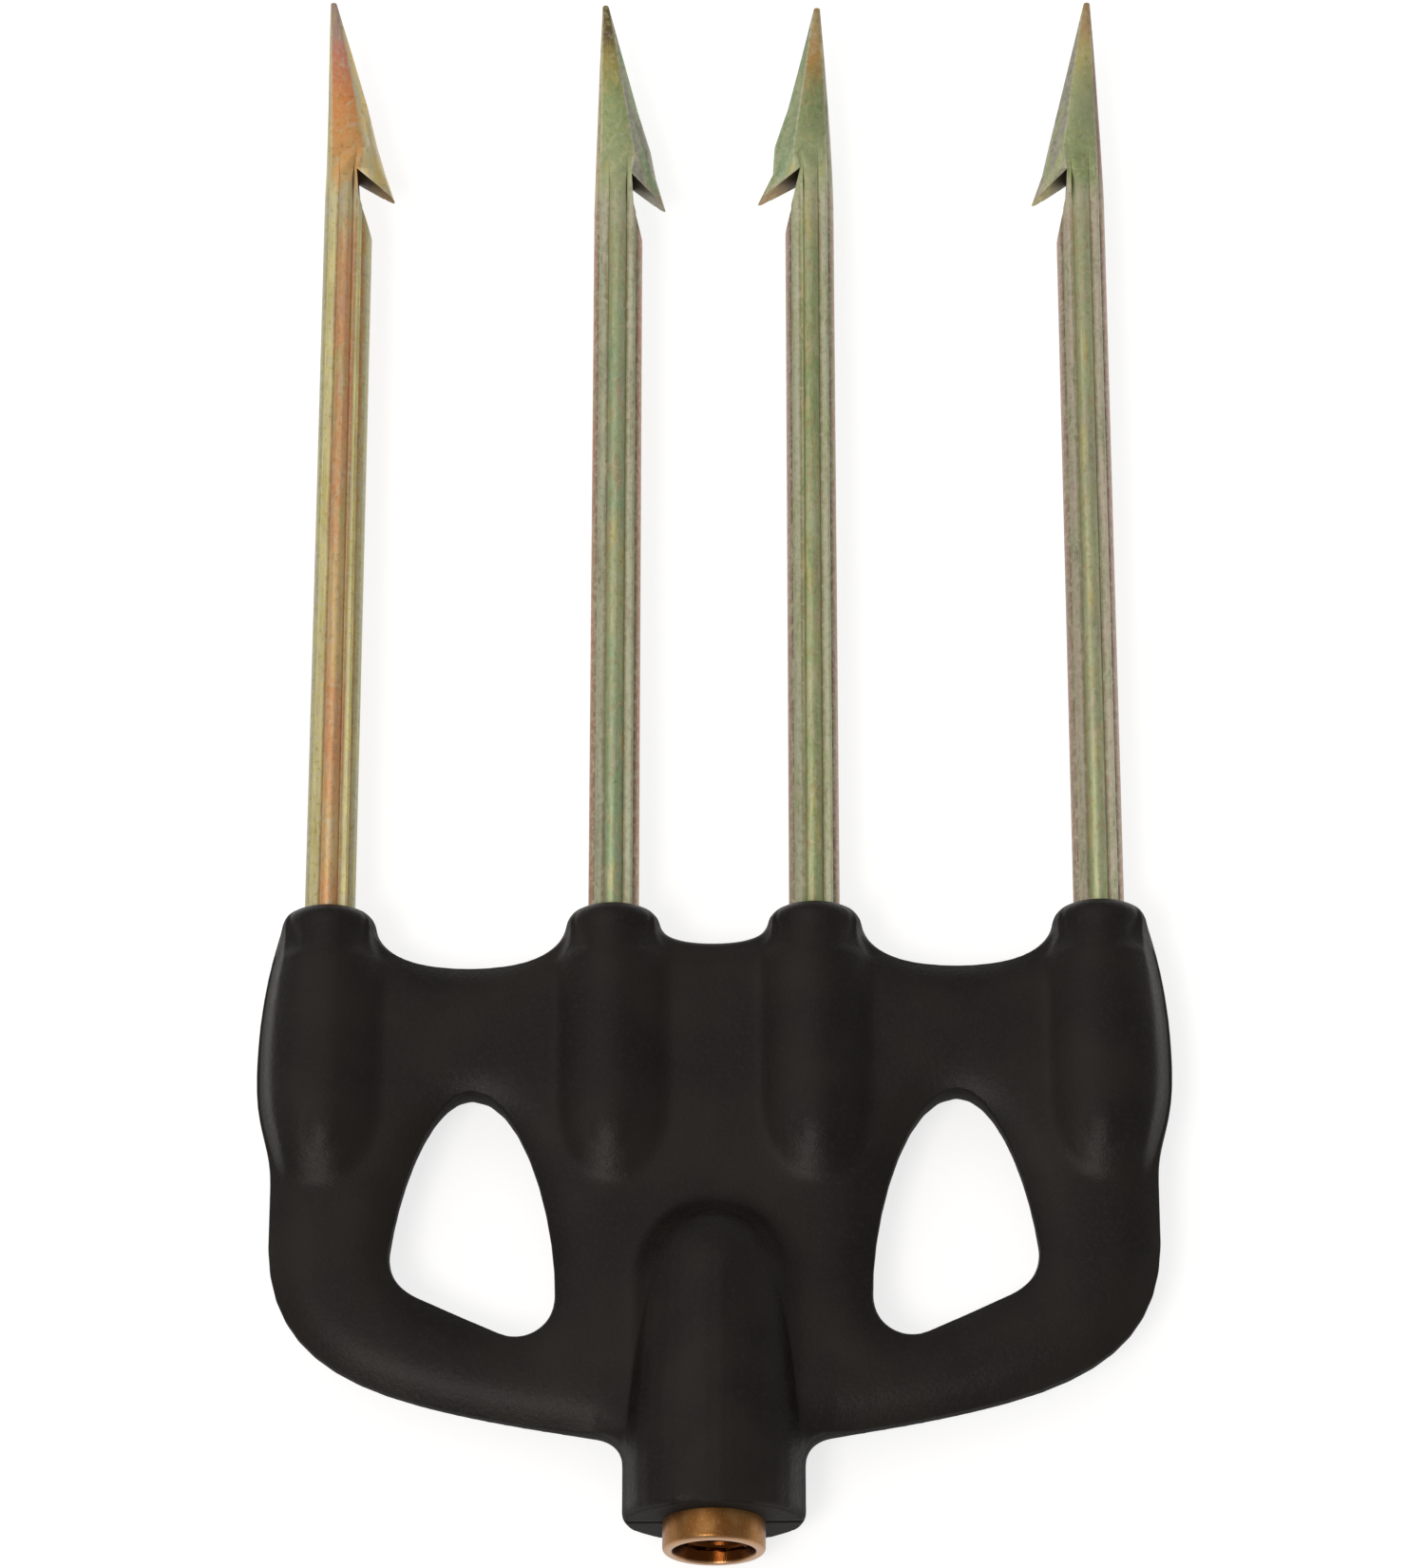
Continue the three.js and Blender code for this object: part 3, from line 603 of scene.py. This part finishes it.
SEAM_RELIEF = 0.05 * MM
GRAIN_RELIEF = 0.06 * MM
NECK_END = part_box("body")[0].y
FINGER_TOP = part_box("body")[1].y
NYLON = (0.0064, 0.0045, 0.0036)
DUSTY_NYLON = (0.0135, 0.0108, 0.0080)
SEAM_SHADE = (0.001, 0.001, 0.001)


def plug(x, radius, low, high, sides=48):
    """A closed round bar along y that fills a seat, where nylon and metal meet with no gap."""
    turns = np.linspace(0, 2 * math.pi, sides, endpoint=False)
    ring = [(x + radius * math.cos(t), PARTING + radius * math.sin(t)) for t in turns]
    points = [(a, low, b) for a, b in ring] + [(a, high, b) for a, b in ring]
    faces = [(i, sides + i, sides + (i + 1) % sides, (i + 1) % sides) for i in range(sides)]
    return points, [*faces, tuple(range(sides)), tuple(reversed(range(sides, 2 * sides)))]


def relaxed(points, edges, passes):
    """Points pulled to the middle of their neighbours and pushed back out, which evens the skin
    without shrinking it."""
    count = np.bincount(edges.ravel(), minlength=len(points))[:, None]
    for step in range(2 * passes):
        total = np.zeros_like(points)
        for axis in range(3):
            total[:, axis] = np.bincount(edges[:, 0], points[edges[:, 1], axis], len(points))
            total[:, axis] += np.bincount(edges[:, 1], points[edges[:, 0], axis], len(points))
        points = points + (PULL_IN if step % 2 == 0 else -PUSH_OUT) * (total / count - points)
    return points


def swollen(spots):
    """The skin with the flanks of the fingers and the boss raised to the broad swell that they have."""
    swells = []
    for node in PRONGS:
        along = np.clip((FINGER_TOP - FINGER_STRAIGHT - spots[:, 1]) / FINGER_TIP, 0, None)
        axis = prong_axis(node)[0]
        beyond = (spots[:, 0] - axis) * math.copysign(1, axis)
        half = np.where((beyond > 0) & ("outer" in node), FINGER_OUTER_HALF, FINGER_HALF)
        top = np.clip((FINGER_TOP - spots[:, 1]) / SWELL_TOP, 0, 1)
        swells.append((np.hypot(beyond / half, along), FINGER_RISE, FINGER_FOOT, top))
    along = np.clip((spots[:, 1] - NECK_END - BOSS_TOP) / BOSS_HALF + 1, 0, None)
    swells.append((np.hypot(spots[:, 0] / BOSS_HALF, along), BOSS_RISE, BOSS_FOOT, 1.0))
    for off, most, foot, share in swells:
        rise = most * (1 - off**2)
        rise = (rise + np.sqrt(rise**2 + foot**2)) / 2
        deep = spots[:, 2] - PARTING
        on_top = np.clip((np.abs(deep) / PLATE_HALF - SIDE_SHARE) / (1 - SIDE_SHARE), 0, 1)
        raised = np.maximum(np.abs(deep), np.minimum(np.abs(deep), PLATE_HALF) + rise * on_top * share)
        spots[:, 2] = PARTING + np.sign(deep) * np.where(off < 2, raised, np.abs(deep))
    return spots


def rolled(spots):
    """The skin with the plate's rim drawn down in a wide soft curve, which fades out by the boss and
    the tops of the fingers. A blurred picture of the plan tells how far inside it a spot lies."""
    places = (spots[:, :2] - spots[:, :2].min(axis=0)) / ROLL_CELL + ROLL_MARGIN
    corner = (places - 0.5).astype(int)
    u, v = (places - 0.5 - corner).T
    plan = np.zeros(places.max(axis=0).astype(int) + ROLL_MARGIN + 1)
    plan[tuple(places.astype(int).T)] = 1.0
    for _ in range(ROLL_PASSES):
        for axis in range(2):
            plan = (np.roll(plan, 1, axis) + 2 * plan + np.roll(plan, -1, axis)) / 4
    i, j = corner.T
    inside = (plan[i, j] * (1 - v) + plan[i, j + 1] * v) * (1 - u)
    inside += (plan[i + 1, j] * (1 - v) + plan[i + 1, j + 1] * v) * u
    inside = np.clip(2 * inside - 1, 0, 1)
    most = PLATE_HALF - ROLL_DROP * (1 - inside) ** ROLL_POWER
    deep = spots[:, 2] - PARTING
    beside, beyond = np.abs(spots[:, 0]) - ROLL_OFF_BOSS[0], spots[:, 1] - NECK_END - ROLL_OFF_BOSS[1]
    off_boss = np.maximum(beside, beyond) / ROLL_FADE
    under_tops = (FINGER_TOP - spots[:, 1]) / ROLL_FADE - 0.5
    share = np.clip(off_boss, 0, 1) * np.clip(under_tops, 0, 1)
    drop = np.clip(np.minimum(np.abs(deep), PLATE_HALF) - most, 0, None) * share
    spots[:, 2] -= np.sign(deep) * drop
    return spots


def even_skin():
    """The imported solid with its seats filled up, drawn over with a skin of one even pitch."""
    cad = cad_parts["body"].data
    points = [tuple(v.co) for v in cad.vertices]
    faces = [tuple(f.vertices) for f in cad.polygons]
    plugs = [plug(prong_axis(n)[0], SOCKET_PLUG, FINGER_TOP - SOCKET_DEPTH, FINGER_TOP) for n in PRONGS]
    plugs.append(plug(0, BUSH_PLUG, NECK_END, NECK_END + SEAT_DEPTH))
    for more_points, more_faces in plugs:
        first = len(points)
        points += more_points
        faces += [tuple(first + i for i in f) for f in more_faces]
    rough = mesh_piece("nylon_blank", points, faces)
    remesh = rough.modifiers.new("skin", "REMESH")
    remesh.mode = "VOXEL"
    remesh.voxel_size = SKIN_PITCH
    bpy.context.view_layer.update()
    drawn = rough.evaluated_get(bpy.context.evaluated_depsgraph_get())
    data = bpy.data.meshes.new_from_object(drawn)
    bpy.data.objects.remove(rough)
    return data


def moulded_skin():
    """The nylon: its skin relaxed, swollen and rolled, its neck end cut flat, its parting line sunk."""
    data = even_skin()
    spots = np.zeros(len(data.vertices) * 3)
    data.vertices.foreach_get("co", spots)
    spots = spots.reshape(-1, 3)
    edges = np.zeros(len(data.edges) * 2, int)
    data.edges.foreach_get("vertices", edges)
    edges = edges.reshape(-1, 2)
    flat = spots[:, 1] < NECK_END + 0.1 * SKIN_PITCH
    spots = rolled(swollen(relaxed(spots, edges, SKIN_PASSES)))
    spots = relaxed(spots, edges, SKIN_PASSES // 2)
    spots[flat, 1] = NECK_END
    spots[flat & (np.abs(spots[:, 2] - PARTING) < SKIN_PITCH / 2), 1] += SEAM_DEPTH
    low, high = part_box("body")
    spots = np.clip(spots, low[:], high[:])
    data.vertices.foreach_set("co", spots.ravel())
    for face in data.polygons:
        face.use_smooth = True
    data.update()
    skin = bpy.data.objects.new("nylon_body", data)
    bpy.context.scene.collection.objects.link(skin)
    return skin


def nylon():
    finish = Finish(bpy.data.materials.new("black_nylon"))
    z = finish.place()[2]
    face_y, face_z = finish.facing()[1:]
    grain = finish.noise(0.42 * MM, detail=4.0, roughness=0.75)
    clouds = finish.noise(9 * MM, detail=3.0, seed=4.0)
    seam = 1 - abs(z - PARTING).between(0.02 * MM, 0.11 * MM)
    shade = finish.mix(clouds.between(0.3, 0.75), NYLON, DUSTY_NYLON)
    shade = finish.mix(grain.between(0.5, 0.62) * 0.6, shade, DUSTY_NYLON)
    end = (0 - face_y).between(0.8, 0.95)
    # Painted shade: the parting line's groove on faces turned to the foot is painted near black, for the
    # shade in it.
    seam_shade = (1 - abs(z - PARTING).between(0.15 * MM, 0.25 * MM)) * (0 - face_y).between(0.2, 0.5)
    shade = finish.mix(seam_shade, shade, SEAM_SHADE)
    relief = finish.bump(grain, GRAIN_RELIEF)
    relief = finish.bump(seam, SEAM_RELIEF, relief)
    steep = 1 - abs(face_z).between(0.15, 0.6)
    rough = 0.22 + 0.26 * grain + 0.4 * end.most(steep)
    return finish.surface(Base_Color=shade, Roughness=rough, Normal=relief, Specular_IOR_Level=0.19)


body = moulded_skin()
dress(body, "nylon", nylon())
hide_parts("body")

# Table: a plain white sheet that the head lies on. It shines white to the camera and in reflections,
# and only its paint takes the shadow.
TABLE_HALF = 3.0
TABLE_PAINT = (0.45, 0.45, 0.45)
TABLE_GLOW = 0.73
corners = [(x * TABLE_HALF, y * TABLE_HALF, 0) for x, y in ((-1, -1), (1, -1), (1, 1), (-1, 1))]
table = mesh_piece("table", corners, [(0, 1, 2, 3)])


def seen_directly(finish):
    """1 for what the camera, a reflection or a refraction sees, and 0 for light that falls on things."""
    rays = [finish.node("ShaderNodeLightPath", {}, output=name)
            for name in ("Is Camera Ray", "Is Glossy Ray", "Is Transmission Ray")]
    return rays[0].most(rays[1]).most(rays[2])


paper = Finish(bpy.data.materials.new("white_table"))
paper.tree.nodes.clear()
paint = paper.node("ShaderNodeBsdfDiffuse", {}, TABLE_PAINT)
glow = paper.node("ShaderNodeEmission", {}, (1.0, 1.0, 1.0), seen_directly(paper) * TABLE_GLOW)
both = paper.node("ShaderNodeAddShader", {}, paint, glow)
paper.node("ShaderNodeOutputMaterial", {}, both)
table.data.materials.append(paper.owner)

# Light: an even room, a small soft box beyond the foot of the head and a broad panel overhead, both to
# the left of the camera.
ROOM_LEVEL = 0.46
LAMP_COLOUR = (1.0, 0.96, 0.88)
LAMPS = {
    "soft_box": {"place": Vector((-0.26, -0.47, 0.90)), "size": 0.28, "power": 3.1},
    "panel": {"place": Vector((-0.46, 0.28, 0.96)), "size": 1.3, "power": 3.0},
}

world = bpy.data.worlds.new("room")
bpy.context.scene.world = world
room = Finish(world)
room.tree.nodes["Background"].inputs["Color"].default_value = (1, 1, 1, 1)
room.tree.nodes["Background"].inputs["Strength"].default_value = ROOM_LEVEL

for name, settings in LAMPS.items():
    light = bpy.data.lights.new(name, "AREA")
    light.size = settings["size"]
    light.energy = settings["power"]
    light.color = LAMP_COLOUR
    lamp = bpy.data.objects.new(name, light)
    bpy.context.scene.collection.objects.link(lamp)
    lamp.location = settings["place"]
    lamp.rotation_mode = "QUATERNION"
    lamp.rotation_quaternion = settings["place"].to_track_quat("Z", "Y")

# Camera: over the foot of the head, looking down it at a slant, a little to its right, with a long
# lens. Its focal length is in pixels of the picture, whose long side is upright.
FOCUS = 6400
LONG_SIDE = 1650
SENSOR = 36
DISTANCE = 0.556
TILT = math.radians(23.2)
TURN = math.radians(1.1)
AIM_ASIDE = -0.13 * MM
AIM_ALONG = 69.8 * MM
AIM = Vector((AIM_ASIDE, NECK_END + AIM_ALONG, PARTING))

away = Vector((math.cos(TILT) * math.sin(TURN), -math.sin(TILT), math.cos(TILT) * math.cos(TURN)))
right = Vector((0, 1, 0)).cross(away).normalized()
lens = bpy.data.cameras.new("camera")
lens.sensor_width = SENSOR
lens.lens = SENSOR * FOCUS / LONG_SIDE
lens.clip_start = 0.01
camera = bpy.data.objects.new("camera", lens)
bpy.context.scene.collection.objects.link(camera)
turned = Matrix((right, away.cross(right), away)).transposed().to_4x4()
camera.matrix_world = Matrix.Translation(AIM + DISTANCE * away) @ turned
bpy.context.scene.camera = camera
bpy.context.scene.view_settings.view_transform = "Standard"
